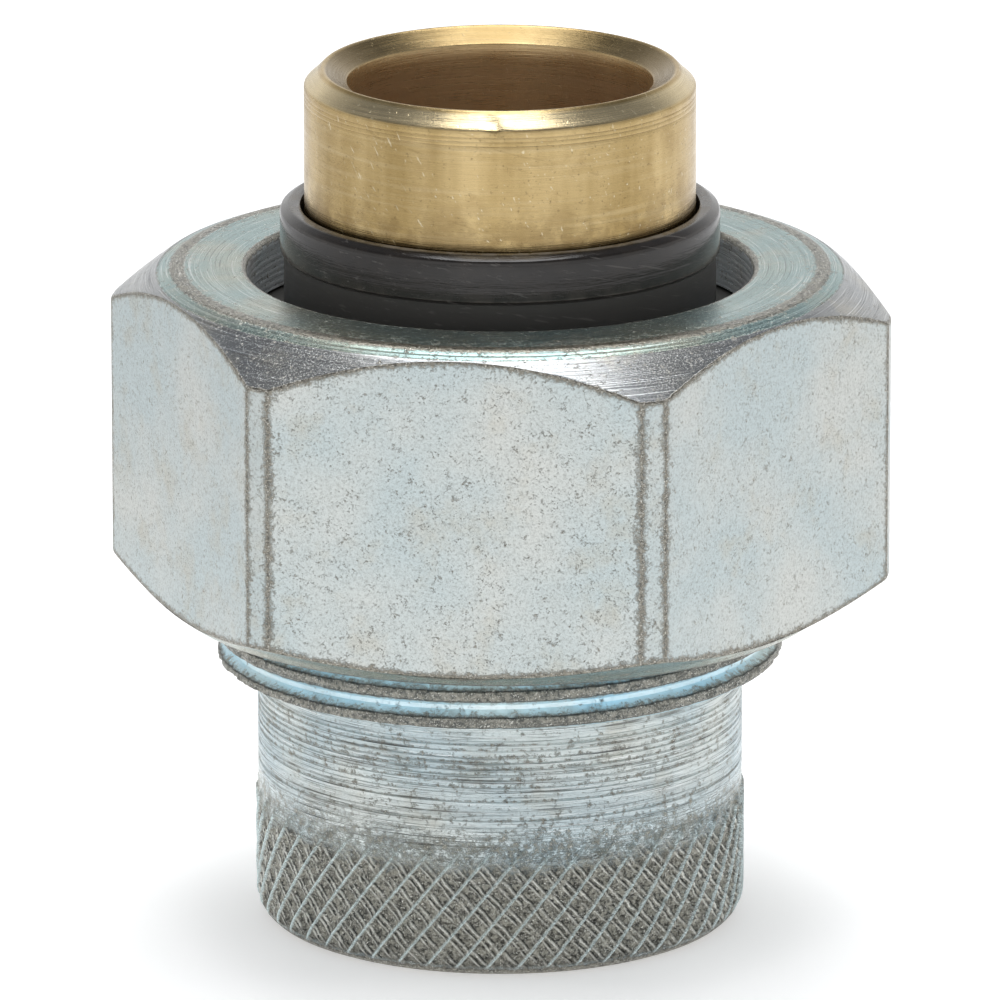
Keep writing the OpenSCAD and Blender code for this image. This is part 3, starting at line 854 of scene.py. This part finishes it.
while tool_z > 45.6:
    rings += [(HOLE_R, tool_z, 0.0), (HOLE_R + 0.02, tool_z - 0.1, 0.3), (HOLE_R, tool_z - 0.2, 0.0)]
    tool_z -= 0.48
rings += [
    (HOLE_R, LIP_Z + 0.12, 0.0), (HOLE_R + 0.12, LIP_Z, 0.2), (20.0, LIP_Z, 0.1), (21.1, LIP_Z, 0.1),
    (LIP_R, LIP_Z - 0.25, 0.1), (LIP_R, 43.0, 0.1), (LIP_R, 41.0, 0.1), (LIP_R, RELIEF_TOP_Z, 0.1),
]

points, worn_marks, turns = [], [], []
for side in range(6):
    turns += [(60 * side + 30, a) for a in face_turns]
for ring in rings:
    for middle, a in turns:
        r, z, wear = nut_ring(*ring, a) if isinstance(ring[0], str) else ring
        way = math.radians(middle + a)
        points.append((r * math.cos(way), r * math.sin(way), z))
        worn_marks.append(wear)
wide = len(turns)
faces = []
for j in range(len(rings) - 1):
    for i in range(wide):
        k = (i + 1) % wide
        faces.append((j * wide + i, j * wide + k, (j + 1) * wide + k, (j + 1) * wide + i))

nut_thread_sizes = {
    "Columns": 240, "Rows": 73, "Foot": NUT_ROOT_R, "Crest": NUT_TIP_R, "Pitch": PITCH,
    "First": FIRST_RIDGE_Z + 2.5 * PITCH, "Bottom": NUT_THREAD_Z, "Top": RELIEF_Z,
    "Crest width": 0.35, "Foot width": 1.33, "Bare start": 0.0, "Taper": 0.0, "Torn": 0.2,
}
nut_thread = run_tree(thread, nut_thread_sizes, faced)
nut = put_together([(points, faces, worn_marks), nut_thread])
stitch(nut, rim(nut, NUT_BOTTOM, 21.8, 22.0), rim(nut, NUT_THREAD_Z, 20.0, 21.2))
stitch(nut, rim(nut, RELIEF_Z, 20.0, 21.2), rim(nut, RELIEF_TOP_Z, 21.2, 21.5))
for f in nut.faces:
    middle = f.calc_center_median()
    on_wall = middle.xy.length > FLAT_R - 0.1 and f.normal.z ** 2 < 0.05
    in_hole = middle.xy.length < HOLE_R + 0.1 and middle.z > LIP_Z
    on_cone = middle.xy.length > BREAK_R - 0.05 and middle.z > 40
    if on_wall:
        f.material_index = 0
    elif in_hole:
        f.material_index = 2
    else:
        f.material_index = 3 if on_cone else 1
union_nut = keep(nut, "union_nut_hexagon", [rolled, faced, bored, coned], 30)
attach(union_nut, "nut")
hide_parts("union_nut")


# ---- Table, light and camera ----
# The union stands on a white table under one wide overhead softbox, in a white room
# that is dimmer above than round the horizon. The table also glows as painted light.

paper, tree, shader, (x, y, z) = new_finish("white_table")
shader.inputs["Base Color"].default_value = (0.9, 0.9, 0.9, 1)
shader.inputs["Roughness"].default_value = 0.9
shader.inputs["Emission Color"].default_value = (1, 1, 1, 1)
# Painted light: the table's glow falls off to the left and, less, to the right.
dim_left = ((x + 50) / -140).within(0, 1) * ((x + 420) / 150).within(0, 1)
dim_right = ((x - 60) / 110).within(0, 1) * ((x - 420) / -150).within(0, 1)
glow = dim_left * -0.42 - dim_right * 0.16 + 0.42
tree.links.new(glow.socket, shader.inputs["Emission Strength"])
table = bmesh.new()
bmesh.ops.create_grid(table, x_segments=1, y_segments=1, size=6)
table_mesh = bpy.data.meshes.new("white_table")
table.to_mesh(table_mesh)
table.free()
table_mesh.materials.append(paper)
white_table = bpy.data.objects.new("white_table", table_mesh)
bpy.context.scene.collection.objects.link(white_table)

room = bpy.data.worlds.new("studio")
room.use_nodes = True
bpy.context.scene.world = room
tree = room.node_tree
where = tree.nodes.new("ShaderNodeTexCoord")
parts = tree.nodes.new("ShaderNodeSeparateXYZ")
tree.links.new(where.outputs["Generated"], parts.inputs[0])
up = Term(tree, parts.outputs["Z"])
dim = up.rise(0.3, 3)
sky = blend(tree, dim, (1.0, 1.0, 1.0), (0.22, 0.23, 0.25))
tree.links.new(sky, tree.nodes["Background"].inputs["Color"])
aside = (Term(tree, parts.outputs["X"]).math("ABSOLUTE") - 0.45).within(0, 0.5)
strength = aside * -0.5 + 0.95
tree.links.new(strength.socket, tree.nodes["Background"].inputs["Strength"])

lamp = bpy.data.lights.new("softbox", "AREA")
lamp.shape = "RECTANGLE"
lamp.size, lamp.size_y = 0.52, 1.0
lamp.energy = 6.4
softbox = bpy.data.objects.new("softbox", lamp)
softbox.location = (-0.02, 0.15, 0.95)
softbox.rotation_euler = (math.radians(-8), 0, math.radians(7.4))
bpy.context.scene.collection.objects.link(softbox)

CAMERA_SPOT, CAMERA_DIP = (0.1260, -0.9651, 0.3071), 15.819
lens = bpy.data.cameras.new("camera")
lens.sensor_width = 36
lens.lens = 494.2
lens.clip_start, lens.clip_end = 0.05, 20
camera = bpy.data.objects.new("camera", lens)
camera.rotation_mode = "XYZ"
camera.location = CAMERA_SPOT
camera.rotation_euler = (math.radians(90 - CAMERA_DIP), 0, math.atan2(CAMERA_SPOT[0], -CAMERA_SPOT[1]))
bpy.context.scene.collection.objects.link(camera)
bpy.context.scene.camera = camera
bpy.context.scene.view_settings.view_transform = "Standard"
